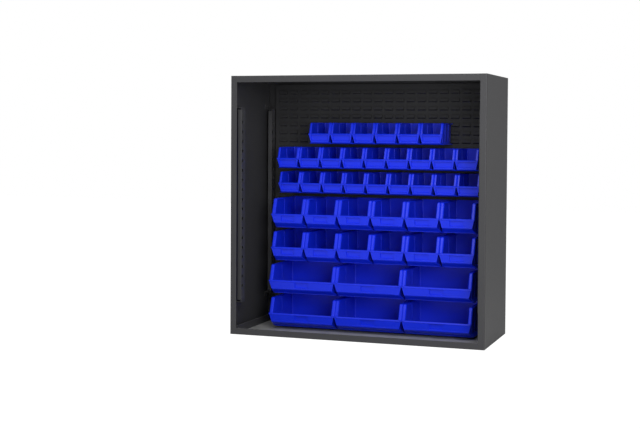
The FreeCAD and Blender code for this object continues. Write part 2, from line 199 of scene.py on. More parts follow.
class BinSettings(PropertyGroup):
    """What all the bins share."""

    wall: length("Wall", "Thickness of the tub's walls", 3.0)
    lip_ledge: length("Lip ledge", "Depth of the ledge between the lip and the side edges", 10.0)
    rim_thickness: length("Rim thickness", "Thickness of the turned-out rim", 3.0)
    rim_skirt: length("Rim skirt", "How far the rim's outer edge is turned down", 6.0)
    rim_corner: length("Rim corner", "Radius where the rim turns down to the lip", 9.0)
    rim_slope: length("Rim slope", "Width of the rim's sloped outer edge", 5.0)
    rim_fall: length("Rim fall", "How far the rim's outer edge slopes down", 3.5)
    draft: length("Draft", "How far each side leans in from rim to floor", 2.5)
    tub_corner: length("Tub corner", "Radius of the tub's outer corners", 8.0)
    back_gap: length("Back gap", "Gap between the tub's back and the hook's back", 10.5)
    face_height: length("Face height", "Height of the label face below the lip", 54.0)
    face_lean: length("Face lean", "How far the label face leans in at its foot", 10.0)
    face_thickness: length("Face thickness", "Thickness of the label face", 11.0)
    face_recess: length("Face recess", "How far the label face lies behind the lip", 1.2)
    lip_height: length("Lip height", "Height of the sloped lip", 7.0)
    lip_slope: length("Lip slope", "How far the lip slopes back", 5.0)
    lip_depth: length("Lip depth", "Depth of the lip from front to back", 9.0)
    lip_recess: length("Lip recess", "How far the lip lies behind the bin's front", 0.6)
    lip_band: length("Lip band", "Height of the band under the lip", 10.5)
    band_recess: length("Band recess", "How far the band lies behind the bin's front", 0.5)
    foot_ledge: length("Foot ledge", "Height of the ledge at the face's foot", 7.0)
    ledge_recess: length("Ledge recess", "How far the foot's ledge lies behind the bin's front", 0.2)
    pocket_depth: length("Label pocket", "Depth of the label's pocket", 7.5)
    pocket_gap: length("Pocket gap", "Height of face left above and below the pocket", 1.5)
    pocket_margin: length("Pocket margin", "Least width of face left beside the pocket", 6.0)
    rib_width: length("Rib width", "Width of the ribs on the sides", 2.6)
    rib_height: length("Rib height", "How far the ribs stand out", 2.4)
    rib_foot: length("Rib foot", "From the bin's underside up to the ribs", 2.0)
    divider_drop: length("Divider drop", "From the rim down to the divider's ribs", 8.0)
    divider_gap: length("Divider gap", "Gap between the two ribs that hold a divider", 2.0)
    divider_rib: length("Divider rib", "Width of a divider's rib", 1.6)
    divider_reach: length("Divider reach", "How far a divider's rib stands out", 1.8)
    hanger_thickness: length("Hanger thickness", "Thickness of the ledge that carries the hook", 3.5)
    hanger_inset: length("Hanger inset", "How far the hanger stops short of the tub's sides", 6.0)
    hook_thickness: length("Hook thickness", "Thickness of the hook behind the louvre", 2.5)
    hook_drop: length("Hook drop", "How far the hook reaches down", 13.7)
    bead_depth: length("Bead depth", "Depth of the rim's thickened inner edge", 8.0)
    bead_fall: length("Bead fall", "How far the thickened edge slopes down inwards", 5.0)
    bead_land: length("Bead land", "Width of the level strip before the bead slopes", 0.8)
    runner_inset: length("Runner inset", "How far the runner stops short of the rim's edge", 0.5)
    runner_round: length("Runner round", "Radius of the runner's upper edges", 1.5)
    toe_flange: length("Toe flange", "Thickness of the flange along the toe's sides", 4.0)


class SmallBin(PropertyGroup):
    """The small bin's own sizes."""

    lip_drop: length("Lip drop", "From the rim down to the lip", 65.0)
    lip_lean: length("Lip lean", "How far the rim's front lies behind the lip", 24.0)
    toe_run: length("Toe run", "Length of the sloped toe under the face", 17.0)
    hanger_drop: length("Hanger drop", "From the rim down to the hanger", 45.0)
    pocket_width: length("Pocket width", "Width of the label's pocket", 107.0)
    rim_width: length("Rim width", "How far the rim is turned out past the walls", 10.5)
    rim_bead: length("Rim bead", "How far the rim's inner edge is thickened", 1.0)
    runner_height: length("Runner height", "Height of the runner at the wall", 10.0)
    runner_edge: length("Runner edge", "Height of the runner's outer edge", 3.0)


class DeepBin(PropertyGroup):
    """The sizes that a medium and a large bin have in common."""

    lip_drop: length("Lip drop", "From the rim down to the lip", 90.0)
    lip_lean: length("Lip lean", "How far the rim's front lies behind the lip", 32.0)
    toe_run: length("Toe run", "Length of the sloped toe under the face", 73.0)
    hanger_drop: length("Hanger drop", "From the rim down to the hanger", 36.0)
    pocket_width: length("Pocket width", "Width of the label's pocket", 84.0)
    rim_width: length("Rim width", "How far the rim is turned out past the walls", 12.5)
    rim_bead: length("Rim bead", "How far the rim's inner edge is thickened", 6.0)
    runner_height: length("Runner height", "Height of the runner at the wall", 24.0)
    runner_edge: length("Runner edge", "Height of the runner's outer edge", 4.5)


class LouvreSettings(PropertyGroup):
    """The louvres pressed out of the panel."""

    columns: IntProperty(name="Columns", description="Louvres across the panel", default=20, min=1)
    rows: IntProperty(name="Rows", description="Louvres up the panel", default=28, min=1)
    column_pitch: length("Column pitch", "From one louvre to the next across", 69.0)
    row_pitch: length("Row pitch", "From one louvre to the next up", 50.0)
    first_row: length("First row", "Height of the lowest louvres' open edge", 105.0)
    width: length("Width", "Width of a louvre", 50.0)
    height: length("Height", "Height of a louvre", 24.0)
    step: share("Step", "Part of a louvre's height over which it steps out", 0.3)
    reach: length("Reach", "How far a louvre stands out", 7.0)
    standoff: length("Stand-off", "From the panel's back to its face", 17.0)
    slit: length("Slit", "Height of the slit over a louvre", 1.2)
    sheet: length("Sheet", "Thickness of the panel", 1.5)


class StageSettings(PropertyGroup):
    """The camera, the lights and the floor."""

    camera_place: place("Camera place", "Where the camera stands", (2.1387, -6.9954, 1.1999))
    camera_turn: angle("Camera turn", "Turn of the camera to the left", 19.299)
    camera_tilt: angle("Camera tilt", "Tilt of the camera down", 1.802)
    camera_roll: angle("Camera roll", "Roll of the camera", 0.355)
    lens: FloatProperty(name="Lens", description="Focal length in millimetres", default=69.458, min=1.0)
    rise: FloatProperty(name="Rise", description="Vertical shift of the lens", default=-0.0681)
    floor: colour("Floor", "Colour of the floor", (0.92, 0.92, 0.92))
    floor_size: length("Floor size", "Length of the floor's side", 24000.0)
    floor_glow: share("Floor glow", "How evenly white the floor looks to the camera", 1.0)
    ambient: FloatProperty(name="Ambient", description="Strength of the even light", default=0.41, min=0.0)
    key: power("Key light", "Power of the soft light above the front", 54.0)
    key_place: place("Key place", "Where the key light hangs", (0.5, -2.6, 3.0))
    key_target: place("Key target", "What the key light looks at", (0.0, 0.0, 0.8))
    key_width: length("Key width", "Width of the key light", 3000.0)
    key_height: length("Key height", "Height of the key light", 1500.0)
    fill: power("Fill light", "Power of the soft light beside the camera", 134.0)
    fill_place: place("Fill place", "Where the fill light stands", (3.0, -5.0, 1.7))
    fill_target: place("Fill target", "What the fill light looks at", (0.0, 0.0, 0.7))
    fill_size: length("Fill size", "Width and height of the fill light", 2000.0)


class CabinetSettings(PropertyGroup):
    """All the settings of the bin cabinet."""

    paint: PointerProperty(type=PaintSettings)
    plastic: PointerProperty(type=PlasticSettings)
    bins: PointerProperty(type=BinSettings)
    small: PointerProperty(type=SmallBin)
    medium: PointerProperty(type=DeepBin)
    large: PointerProperty(type=DeepBin)
    louvres: PointerProperty(type=LouvreSettings)
    stage: PointerProperty(type=StageSettings)


def settings():
    """The scene's own settings."""
    return bpy.context.scene.bin_cabinet


def new_group(name, inputs, outputs):
    """An empty shader node group with its sockets, and its two end nodes."""
    group = bpy.data.node_groups.new(name, "ShaderNodeTree")
    for label, kind, value in inputs:
        group.interface.new_socket(name=label, in_out="INPUT", socket_type=kind).default_value = value
    for label, kind in outputs:
        group.interface.new_socket(name=label, in_out="OUTPUT", socket_type=kind)
    return group, group.nodes.new("NodeGroupInput"), group.nodes.new("NodeGroupOutput")


def math_node(tree, operation, *operands):
    """A math node's value, each operand being a socket or a number."""
    node = tree.nodes.new("ShaderNodeMath")
    node.operation = operation
    for socket, operand in zip(node.inputs, operands):
        if isinstance(operand, (int, float)):
            socket.default_value = operand
        else:
            tree.links.new(operand, socket)
    return node.outputs["Value"]


def ranged(tree, value, low, high, to_low=0.0, to_high=1.0):
    """A value carried from one range to another, with smooth ends."""
    node = tree.nodes.new("ShaderNodeMapRange")
    node.interpolation_type = "SMOOTHSTEP"
    for label, number in (("From Min", low), ("From Max", high), ("To Min", to_low), ("To Max", to_high)):
        node.inputs[label].default_value = number
    tree.links.new(value, node.inputs["Value"])
    return node.outputs["Result"]


def noise(tree, spot, scale, detail):
    """Noise at a scale that is a socket or a number."""
    node = tree.nodes.new("ShaderNodeTexNoise")
    node.inputs["Detail"].default_value = detail
    tree.links.new(spot, node.inputs["Vector"])
    if isinstance(scale, (int, float)):
        node.inputs["Scale"].default_value = scale
    else:
        tree.links.new(scale, node.inputs["Scale"])
    return node.outputs["Fac"]


def fine_grain():
    """A surface's fine texture, and the slow change of tone over it."""
    group, given, out = new_group(
        "Fine grain",
        [("Scale", "NodeSocketFloat", 600.0), ("Spread", "NodeSocketFloat", 0.06)],
        [("Height", "NodeSocketFloat"), ("Tone", "NodeSocketFloat")],
    )
    spot = group.nodes.new("ShaderNodeTexCoord").outputs["Object"]
    peel = noise(group, spot, given.outputs["Scale"], 2.0)
    slow = noise(group, spot, TONE_PATCHES, 3.0)
    drift = math_node(group, "MULTIPLY_ADD", slow, 2.0, -1.0)
    tone = math_node(group, "MULTIPLY_ADD", drift, given.outputs["Spread"], 1.0)
    group.links.new(peel, out.inputs["Height"])
    group.links.new(tone, out.inputs["Tone"])
    return group


def edge_wear_and_highlight():
    """A mask that lightens the edges, part scuffing broken up in patches and part painted highlight, and the
    normal over their round.
    """
    group, given, out = new_group(
        "Edge wear",
        [("Radius", "NodeSocketFloat", 1.5 * MM), ("Amount", "NodeSocketFloat", 0.3)],
        [("Mask", "NodeSocketFloat"), ("Normal", "NodeSocketVector")],
    )
    bevel = group.nodes.new("ShaderNodeBevel")
    bevel.samples = 4
    group.links.new(given.outputs["Radius"], bevel.inputs["Radius"])
    surface = group.nodes.new("ShaderNodeNewGeometry")
    dot = group.nodes.new("ShaderNodeVectorMath")
    dot.operation = "DOT_PRODUCT"
    group.links.new(bevel.outputs["Normal"], dot.inputs[0])
    group.links.new(surface.outputs["Normal"], dot.inputs[1])
    near = ranged(group, dot.outputs["Value"], 0.70, 0.995, 1.0, 0.0)
    spot = group.nodes.new("ShaderNodeTexCoord").outputs["Object"]
    patchy = ranged(group, noise(group, spot, WEAR_AND_HIGHLIGHT_PATCHES, 4.0), 0.35, 0.65, 0.35, 1.0)
    handled_and_highlit = math_node(group, "MULTIPLY", near, patchy)
    mask = math_node(group, "MULTIPLY", handled_and_highlit, given.outputs["Amount"])
    group.links.new(mask, out.inputs["Mask"])
    group.links.new(bevel.outputs["Normal"], out.inputs["Normal"])
    return group


def settled_dust():
    """A mask on the faces that look up, thicker in patches."""
    group, given, out = new_group(
        "Settled dust", [("Amount", "NodeSocketFloat", 0.1)], [("Mask", "NodeSocketFloat")]
    )
    surface = group.nodes.new("ShaderNodeNewGeometry")
    parts = group.nodes.new("ShaderNodeSeparateXYZ")
    group.links.new(surface.outputs["Normal"], parts.inputs["Vector"])
    level = ranged(group, parts.outputs["Z"], 0.75, 0.99)
    spot = group.nodes.new("ShaderNodeTexCoord").outputs["Object"]
    patchy = ranged(group, noise(group, spot, DUST_PATCHES, 6.0), 0.30, 0.72, 0.75, 1.0)
    lying = math_node(group, "MULTIPLY", level, patchy)
    mask = math_node(group, "MULTIPLY", lying, given.outputs["Amount"])
    group.links.new(mask, out.inputs["Mask"])
    return group


def shared_group(name):
    """One of the shared effects, built the first time that it is asked for."""
    makers = {"Fine grain": fine_grain, "Edge wear": edge_wear_and_highlight, "Settled dust": settled_dust}
    return bpy.data.node_groups.get(name) or makers[name]()


def place_group(tree, name, **values):
    """One of the shared effects in a material, with that material's own values."""
    node = tree.nodes.new("ShaderNodeGroup")
    node.node_tree = shared_group(name)
    for label, value in values.items():
        node.inputs[label].default_value = value
    return node.outputs


def mixed(tree, factor, first, second, blend="MIX"):
    """Two colours mixed, each being a socket or three numbers."""
    node = tree.nodes.new("ShaderNodeMix")
    node.data_type = "RGBA"
    node.blend_type = blend
    if isinstance(factor, float):
        node.inputs["Factor"].default_value = factor
    else:
        tree.links.new(factor, node.inputs["Factor"])
    for index, operand in zip(MIX_COLOURS, (first, second)):
        socket = node.inputs[index]
        if isinstance(operand, bpy.types.NodeSocket):
            tree.links.new(operand, socket)
        else:
            socket.default_value = (*operand, 1.0)
    return node.outputs[MIX_RESULT]


def surface_material(name, base, finish, dustiness):
    """A material with a fine grain, a drifting tone, lighter edges that are part scuffing and part painted
    highlight, and dust on level faces, which on the floor pan is laid on thick enough to be painted light
    from above.
    """
    material = bpy.data.materials.new(name)
    material.use_nodes = True
    material.diffuse_color = (*base, 1.0)
    tree = material.node_tree
    shader = tree.nodes["Principled BSDF"]
    grain = place_group(tree, "Fine grain", Scale=1.0 / finish.grain, Spread=finish.spread)
    wear_and_highlight = place_group(tree, "Edge wear", Radius=finish.rounding, Amount=finish.wear_and_highlight)
    dust = place_group(tree, "Settled dust", Amount=dustiness)
    toned = mixed(tree, 1.0, base, grain["Tone"], "MULTIPLY")
    # Lighter edges: part scuffing, part painted highlight.
    rubbed_and_highlit = mixed(tree, wear_and_highlight["Mask"], toned, finish.worn_and_highlight)
    # Dust on level faces; on the floor pan it is heavy enough to be painted light from above.
    dusty_and_floor_lit = mixed(tree, dust["Mask"], rubbed_and_highlit, finish.dust)
    tree.links.new(dusty_and_floor_lit, shader.inputs["Base Color"])
    smoothest, roughest = finish.roughness - ROUGHNESS_SWING, finish.roughness + ROUGHNESS_SWING
    rough = ranged(tree, grain["Height"], 0.3, 0.7, smoothest, roughest)
    tree.links.new(rough, shader.inputs["Roughness"])
    shader.inputs["Specular IOR Level"].default_value = finish.specular
    relief = tree.nodes.new("ShaderNodeBump")
    relief.inputs["Strength"].default_value = finish.relief
    relief.inputs["Distance"].default_value = RELIEF_DEPTH
    tree.links.new(grain["Height"], relief.inputs["Height"])
    tree.links.new(wear_and_highlight["Normal"], relief.inputs["Normal"])
    tree.links.new(relief.outputs["Normal"], shader.inputs["Normal"])
    return material


def link_object(name, data):
    """A new object in the scene."""
    made = bpy.data.objects.new(name, data)
    bpy.context.scene.collection.objects.link(made)
    return made


def mesh_object(name, mesh):
    """A new object from a bmesh, which is freed."""
    data = bpy.data.meshes.new(name)
    mesh.to_mesh(data)
    mesh.free()
    return link_object(name, data)


def discard(made):
    """Takes a helper object and its mesh out of the file."""
    data = made.data
    bpy.data.objects.remove(made)
    bpy.data.meshes.remove(data)


def settle(made):
    """Applies an object's modifiers to its own mesh."""
    evaluated = made.evaluated_get(bpy.context.evaluated_depsgraph_get())
    data = bpy.data.meshes.new_from_object(evaluated)
    before = made.data
    made.modifiers.clear()
    made.data = data
    bpy.data.meshes.remove(before)


def lofted(name, rings, radius=0.0, rounded=None, segments=5):
    """A closed solid through matching rings of points, with some of its edges rounded."""
    mesh = bmesh.new()
    loops = [[mesh.verts.new(point) for point in ring] for ring in rings]
    mesh.faces.new(loops[0])
    mesh.faces.new(loops[-1])
    for near, far in zip(loops, loops[1:]):
        for i in range(len(near)):
            j = (i + 1) % len(near)
            mesh.faces.new((near[i], near[j], far[j], far[i]))
    bmesh.ops.recalc_face_normals(mesh, faces=mesh.faces)
    if radius:
        edges = [edge for edge in mesh.edges if rounded(*(vert.co for vert in edge.verts))]
        bmesh.ops.bevel(
            mesh, geom=edges, offset=radius, offset_type="OFFSET", segments=segments, profile=0.5,
            affect="EDGES",
        )
    return mesh_object(name, mesh)


def combine(base, others, operation):
    """Joins other solids to a base, or cuts them out of it."""
    for other in others:
        modifier = base.modifiers.new("combine", "BOOLEAN")
        modifier.operation = operation
        modifier.solver = "MANIFOLD"
        modifier.object = other
    settle(base)
    for other in others:
        discard(other)


def inset(path, distance):
    """An open path of (along, up) points moved to its inner side, with mitred corners."""
    points = [Vector(point) for point in path]
    normals = []
    for start, end in zip(points, points[1:]):
        run = (end - start).normalized()
        normals.append(Vector((-run.y, run.x)))
    before = [normals[0], *normals]
    after = [*normals, normals[-1]]
    return [
        tuple(point + (one + two) * (distance / (1.0 + one.dot(two))))
        for point, one, two in zip(points, before, after)
    ]


def turned_corner(before, corner, after, radius, steps=6):
    """A rounded corner of a path, as points on its arc."""
    corner = Vector(corner)
    to_before = (Vector(before) - corner).normalized()
    to_after = (Vector(after) - corner).normalized()
    half = to_before.angle(to_after) / 2.0
    middle = (to_before + to_after).normalized()
    centre = corner + middle * (radius / math.sin(half))
    start = corner + to_before * (radius / math.tan(half)) - centre
    end = corner + to_after * (radius / math.tan(half)) - centre
    sweep = start.angle_signed(end)
    arc = []
    for step in range(steps + 1):
        turn = -sweep * step / steps
        arc.append(tuple(centre + Matrix.Rotation(turn, 2) @ start))
    return arc


def bin_layout(kind):
    """Where a size of bin has its edges, from the middle of the hook's back, level with the rim."""
    low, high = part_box(bin_nodes(kind)[0])
    bins, shape = settings().bins, getattr(settings(), kind)
    at = SimpleNamespace(bins=bins, shape=shape)
    at.half = (high.x - low.x) / 2.0
    at.body = at.half - shape.rim_width
    at.floor = low.z - high.z
    at.front = low.y - high.y
    at.back = -bins.back_gap
    at.ledge = at.front + bins.lip_ledge
    at.rim_front = at.ledge + shape.lip_lean
    at.lip = -shape.lip_drop
    at.foot = at.lip - bins.face_height
    at.face_foot = at.front + bins.face_lean
    at.toe = at.face_foot + shape.toe_run
    at.face_down = Vector((bins.face_lean, -bins.face_height)).normalized()
    at.face_in = Vector((-at.face_down.y, at.face_down.x))
    at.face_length = math.hypot(bins.face_lean, bins.face_height)
    corner = turned_corner((at.back, 0.0), (at.rim_front, 0.0), (at.ledge, at.lip), bins.rim_corner)
    at.side_edge = [(at.back, 0.0), *corner, (at.ledge, at.lip)]
    at.edge_path = [*at.side_edge, (at.front, at.lip)]
    return at


def side_at(at, up, half):
    """Half the width of a drafted side at one height."""
    return half - at.bins.draft * up / at.floor


def drafted(name, at, outline, half, radius=0.0, rounded=None):
    """A solid right across the bin, whose sides lean in to the floor."""
    rings = [[(side * side_at(at, up, half), along, up) for along, up in outline] for side in (-1, 1)]
    return lofted(name, rings, radius, rounded)


def straight(name, outline, left, right):
    """A solid across the bin between two places."""
    return lofted(name, [[(x, along, up) for along, up in outline] for x in (left, right)])


def on_face(name, at, outline, near, far):
    """A solid on the label face, from (across, down) points between two depths behind the lip."""
    rings = []
    for depth in (near, far):
        ring = []
        for across, down in outline:
            along, up = Vector((at.front, at.lip)) + at.face_down * down + at.face_in * depth
            ring.append((across, along, up))
        rings.append(ring)
    return lofted(name, rings)


def face_half(at, down):
    """Half the width of the label face at one distance below the lip."""
    foot = side_at(at, at.foot, at.body)
    return at.half + (foot - at.half) * down / at.face_length


def up_the_back(one, two, back):
    """Whether an edge runs up a back corner."""
    return abs(one.y - two.y) < NEAR and one.y > back - NEAR and abs(one.x - two.x) < SIDE_LEAN


def tub(at):
    """The bin's outside, without its rim."""
    path = [
        (at.back, 0.0),
        (at.rim_front, 0.0),
        (at.ledge, at.lip),
        (at.front, at.lip),
        (at.face_foot, at.foot),
    ]
    outline = [(at.back, at.floor), *inset(path, RIM_LAP * at.bins.rim_thickness), (at.toe, at.floor)]

    def rounded(one, two):
        return up_the_back(one, two, at.back) or min(one.z, two.z) < at.foot - NEAR

    return drafted("tub", at, outline, at.body, at.bins.tub_corner, rounded)


def hollow(at):
    """The room inside the bin."""
    bins = at.bins
    floor, back = at.floor + bins.wall, at.back - bins.wall
    sill = at.lip - bins.lip_height
    outline = [
        (back, floor),
        (back, CUT_CLEAR),
        (at.front - CUT_CLEAR, CUT_CLEAR),
        (at.front - CUT_CLEAR, sill),
        (at.front + bins.face_thickness, sill),
        (at.face_foot + bins.face_thickness, at.foot + bins.wall),
        (at.toe + TOE_WALL * bins.wall, floor),
    ]

    def rounded(one, two):
        return up_the_back(one, two, back) or min(one.z, two.z) < sill - NEAR

    return drafted("hollow", at, outline, at.body - bins.wall, bins.tub_corner - bins.wall, rounded)


def rim(at):
    """The turned-out rim along the top and down the front edges, with its skirt."""
    bins = at.bins
    top = [*at.edge_path, *reversed(inset(at.edge_path, bins.rim_thickness))]
    skirt = [*at.edge_path, *reversed(inset(at.edge_path, bins.rim_skirt))]
    edge = [*inset(at.edge_path, bins.rim_fall), *reversed(inset(at.edge_path, bins.rim_skirt))]
    inner = at.half - bins.rim_slope
    reach = inner + RIM_OVERLAP
    pieces = [straight("rim", top, -reach, reach)]
    for side in (-1, 1):
        rings = [
            [(side * across, along, up) for along, up in ring]
            for across, ring in ((inner, skirt), (at.half, edge))
        ]
        pieces.append(lofted("skirt", rings))
    return pieces


def label_face(at):
    """The plate under the lip, with the band above it and the ledge at its foot."""
    bins = at.bins
    start, end = LIP_LAP * bins.lip_height, at.face_length

    def strip(name, top, bottom, near):
        wide, narrow = face_half(at, top), face_half(at, bottom)
        outline = [(-wide, top), (wide, top), (narrow, bottom), (-narrow, bottom)]
        return on_face(name, at, outline, near, bins.face_thickness)

    return [
        strip("plate", start, end, bins.face_recess),
        strip("band", start, bins.lip_band, bins.band_recess),
        strip("ledge", end - bins.foot_ledge, end, bins.ledge_recess),
    ]


def sloped_lip(at):
    """The lip over the label face, sloped on its front."""
    bins = at.bins
    start, sill = at.front + bins.lip_recess, at.lip - bins.lip_height
    outline = [
        (start, sill - LAP),
        (start, sill),
        (start + bins.lip_slope, at.lip),
        (at.front + bins.lip_depth, at.lip),
        (at.front + bins.lip_depth, sill - LAP),
    ]
    return straight("lip", outline, -at.half, at.half)


def label_pocket(at):
    """What is cut out of the face for a label."""
    bins = at.bins
    top = bins.lip_band + bins.pocket_gap
    bottom = at.face_length - bins.foot_ledge - bins.pocket_gap
    wide, narrow = (
        min(at.shape.pocket_width / 2.0, face_half(at, down) - bins.pocket_margin) for down in (top, bottom)
    )
    outline = [(-wide, top), (wide, top), (narrow, bottom), (-narrow, bottom)]
    return on_face("pocket", at, outline, -CUT_CLEAR, bins.face_recess + bins.pocket_depth)


def outer_ribs(at):
    """The upright ribs on the outside of the sides."""
    bins = at.bins
    ribs = []
    foot = at.floor + bins.rib_foot
    for part in RIB_PARTS:
        along = at.front + (at.back - at.front) * part
        outline = [
            (along, foot),
            (along + bins.rib_width, foot),
            (along + bins.rib_width, -LAP),
            (along, -LAP if along > at.rim_front else at.lip),
        ]
        ribs.append(drafted("rib", at, outline, at.body + bins.rib_height))
    return ribs


def runner(at):
    """The runner along the floor's two sides."""
    low = side_at(at, at.floor, at.body)
    wide = at.half - at.bins.runner_inset
    top = at.floor + at.shape.runner_height
    step = at.floor + at.shape.runner_edge
    ring = [(-wide, at.floor), (wide, at.floor), (wide, step), (low, top), (-low, top), (-wide, step)]
    rings = [[(x, along, up) for x, up in ring] for along in (at.toe, at.back)]

    def rounded(one, two):
        return min(one.z, two.z) > at.floor + NEAR

    return lofted("runner", rings, at.bins.runner_round, rounded, segments=2)


def toe_flange(at):
    """The flange that carries the runner on up the toe."""
    foot, toe = Vector((at.face_foot, at.foot)), Vector((at.toe, at.floor))
    path = [tuple(foot.lerp(toe, TOE_START)), tuple(toe)]
    inner = inset(path, at.bins.toe_flange)
    halves = (side_at(at, at.foot, at.body), at.half - at.bins.runner_inset)
    rings = []
    for outer_end, inner_end, half in zip(path, inner, halves):
        corners = ((-half, outer_end), (half, outer_end), (half, inner_end), (-half, inner_end))
        rings.append([(across, along, up) for across, (along, up) in corners])
    return lofted("toe_flange", rings)


def hanger(at):
    """The ledge on the back and the hook that drops behind a louvre."""
    bins = at.bins
    half = at.body - bins.hanger_inset
    top = -at.shape.hanger_drop
    under = top - bins.hanger_thickness
    outline = [
        (at.back - LAP, top),
        (0.0, top),
        (0.0, top - bins.hook_drop),
        (-bins.hook_thickness, top - bins.hook_drop),
        (-bins.hook_thickness, under),
        (at.back - LAP, under),
    ]
    return straight("hanger", outline, -half, half)


def back_rim(at):
    """The rim along the back, level with the sides'."""
    thick = at.bins.rim_thickness
    outline = [(at.back, 0.0), (at.back - 2 * thick, 0.0), (at.back - 2 * thick, -thick), (at.back, -thick)]
    return straight("back_rim", outline, -at.half, at.half)


def rim_beads(at):
    """The thickened inner edges of the rim, sloped down inwards."""
    bins = at.bins
    inside = at.body - bins.wall
    under = inset([(at.back, 0.0), (at.rim_front, 0.0), (at.ledge, at.lip)], bins.bead_depth)
    steps = (
        (inside + LAP, 0.0),
        (inside - bins.bead_land, 0.0),
        (inside - at.shape.rim_bead, bins.bead_fall),
    )
    beads = []
    for side in (-1, 1):
        rings = []
        for across, fall in steps:
            ring = [*inset(at.side_edge, fall), *reversed(under)]
            rings.append([(side * across, along, up) for along, up in ring])
        beads.append(lofted("bead", rings))
    return beads


def inner_ribs(at):
    """The pair of thin ribs on each side that holds a divider."""
    bins = at.bins
    inside = at.body - bins.wall
    top, low = -bins.divider_drop, at.floor + bins.wall - LAP
    middle = (at.front + at.back) / 2.0
    ribs = []
    for step in (-bins.divider_gap / 2.0 - bins.divider_rib, bins.divider_gap / 2.0):
        start = middle + step
        end = start + bins.divider_rib
        for side in (-1, 1):
            rings = []
            for up in (top, low):
                face = side_at(at, up, inside)
                near, far = side * (face - bins.divider_reach), side * (face + LAP)
                rings.append([(near, start, up), (far, start, up), (far, end, up), (near, end, up)])
            ribs.append(lofted("inner_rib", rings))
    return ribs


def bin_mesh(kind, material):
    """The mesh that all the bins of one size share."""
    at = bin_layout(kind)
    body = tub(at)
    outside = [*rim(at), *label_face(at), *outer_ribs(at)]
    outside += [runner(at), toe_flange(at), hanger(at), back_rim(at)]
    combine(body, outside, "UNION")
    combine(body, [hollow(at), label_pocket(at)], "DIFFERENCE")
    combine(body, [sloped_lip(at), *rim_beads(at), *inner_ribs(at)], "UNION")
    data = body.data
    data.shade_smooth()
    data.set_sharp_from_angle(angle=SHARP_ANGLE)
    data.name = f"{kind}_bin"
    data.materials.clear()
    data.materials.append(material)
    bpy.data.objects.remove(body)
    return data


def ease_edges(made, radius):
    """Modifiers that round the edges and keep the flat faces flat."""
    weld = made.modifiers.new("weld", "WELD")
    weld.merge_threshold = WELD_GAP
    bevel = made.modifiers.new("edges", "BEVEL")
    bevel.width = radius
    bevel.segments = 2
    bevel.limit_method = "ANGLE"
    bevel.angle_limit = SHARP_ANGLE
    bevel.use_clamp_overlap = False
    normals = made.modifiers.new("normals", "WEIGHTED_NORMAL")
    normals.keep_sharp = False


def hang_bins(kind):
    """Puts a bin of one size in the place of each of its nodes."""
    plastic = settings().plastic
    material = bpy.data.materials.get("moulded_blue_plastic") or surface_material(
        "moulded_blue_plastic", plastic.body, plastic, plastic.dustiness
    )
    data = bin_mesh(kind, material)
    for node in bin_nodes(kind):
        low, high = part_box(node)
        hung = link_object(f"hook_on_{node}", data)
        hung.location = ((low.x + high.x) / 2.0, high.y, high.z)
        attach(hung, node)
        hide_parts(node)


def paint_nodes(nodes, name, base, radius, dustiness):
    """Gives CAD nodes a paint and eased edges."""
    material = surface_material(name, base, settings().paint, dustiness)
    for node in nodes:
        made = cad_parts[node]
        for slot in made.material_slots:
            slot.material = material
        ease_edges(made, radius)


def louvre_rise(part_up, step):
    """How far a louvre stands out at one height, from 0 at its foot to 1 above its step."""
    part = min(1.0, part_up / step)
    return part * part * (3.0 - 2.0 * part)


def louvred_sheet():
    """The panel as one sheet, with a slit over each louvre."""
    louvres = settings().louvres
    low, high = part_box(PANEL_NODE)
    face = high.y - louvres.standoff
    parts_across = (0.0, 0.5, 1.0)
    slopes = [louvres.step * part for part in (0.0, 0.25, 0.5, 0.75, 1.0)]
    parts_up = (*slopes, 1.0, 1.0 + louvres.slit / louvres.height)
    span = louvres.column_pitch * (louvres.columns - 1) + louvres.width
    first = (low.x + high.x - span) / 2.0
    lefts = [first + louvres.column_pitch * column for column in range(louvres.columns)]
    feet = [louvres.first_row - louvres.height + louvres.row_pitch * row for row in range(louvres.rows)]
    across = [(low.x, None)]
    for left in lefts:
        across += [(left + louvres.width * part, part) for part in parts_across]
    across.append((high.x, None))
    up = [(low.z, None)]
    for foot in feet:
        up += [(foot + louvres.height * part, part) for part in parts_up]
    up.append((high.z, None))
    mesh = bmesh.new()
    made = {}

    def corner(i, j, pressed):
        rise = 0.0
        if pressed and across[i][1] is not None and up[j][1] is not None:
            rise = louvre_rise(up[j][1], louvres.step)
        key = (i, j, rise > 0.0)
        if key not in made:
            made[key] = mesh.verts.new((across[i][0], face - louvres.reach * rise, up[j][0]))
        return made[key]

    def within(line, i):
        return line[i][1] is not None and line[i + 1][1] is not None and line[i + 1][1] > line[i][1]

    for i in range(len(across) - 1):
        for j in range(len(up) - 1):
            pressed = within(across, i) and within(up, j)
            if pressed and up[j + 1][1] > 1.0:
                continue
            places = ((i, j), (i + 1, j), (i + 1, j + 1), (i, j + 1))
            mesh.faces.new([corner(*place, pressed) for place in places])
    return mesh, high.y


def fold_edges(mesh, back):
    """Turns the sheet's outer edges back."""
    xs = [vert.co.x for vert in mesh.verts]
    zs = [vert.co.z for vert in mesh.verts]
    ends = (min(xs), max(xs), min(zs), max(zs))

    def on_outer_edge(edge):
        one, two = (vert.co for vert in edge.verts)
        return any(
            abs(one[axis] - end) < SAME_LINE and abs(two[axis] - end) < SAME_LINE
            for axis, end in ((0, ends[0]), (0, ends[1]), (2, ends[2]), (2, ends[3]))
        )

    rim_edges = [edge for edge in mesh.edges if edge.is_boundary and on_outer_edge(edge)]
    grown = bmesh.ops.extrude_edge_only(mesh, edges=rim_edges)
    for item in grown["geom"]:
        if isinstance(item, bmesh.types.BMVert):
            item.co.y = back
    bmesh.ops.recalc_face_normals(mesh, faces=mesh.faces)


